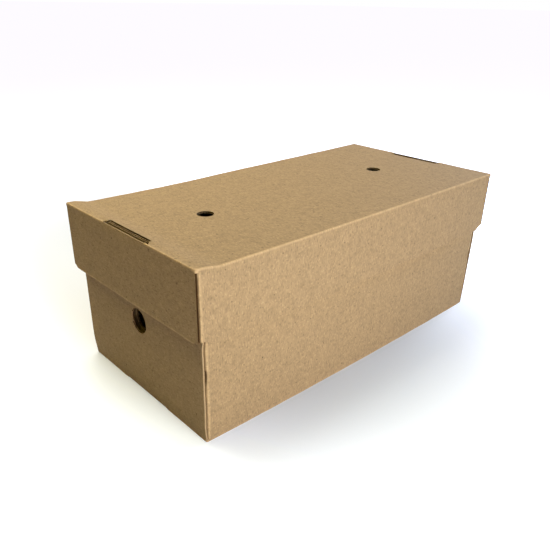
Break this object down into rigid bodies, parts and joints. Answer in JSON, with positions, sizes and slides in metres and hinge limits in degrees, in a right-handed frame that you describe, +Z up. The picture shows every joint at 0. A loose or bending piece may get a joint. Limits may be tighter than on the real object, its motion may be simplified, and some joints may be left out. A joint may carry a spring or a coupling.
{
  "type": "burger box",
  "caption": "Long takeaway box for burgers in corrugated kraft board: a folded tray with rolled end walls under a lift-off lid of the same make, with steam vents and finger holes.",
  "frame": {"origin": "middle of the tray's underside", "axes": "+X along the box, +Y towards the long side at the back, +Z up"},
  "size_m": [0.2444, 0.12, 0.0952],
  "materials": {
    "kraft_board": "matt uncoated kraft liner with fine fibre specks, fluted core showing at cut edges"
  },
  "bodies": {
    "tray": {"base_tray": "kraft_board"},
    "lid": {"lid": "kraft_board"}
  },
  "joints": [
    {"name": "lid_lift", "type": "slide", "parent": "tray", "child": "lid", "axis": [0, 0, 1], "range_m": [0, 0.1]}
  ]
}
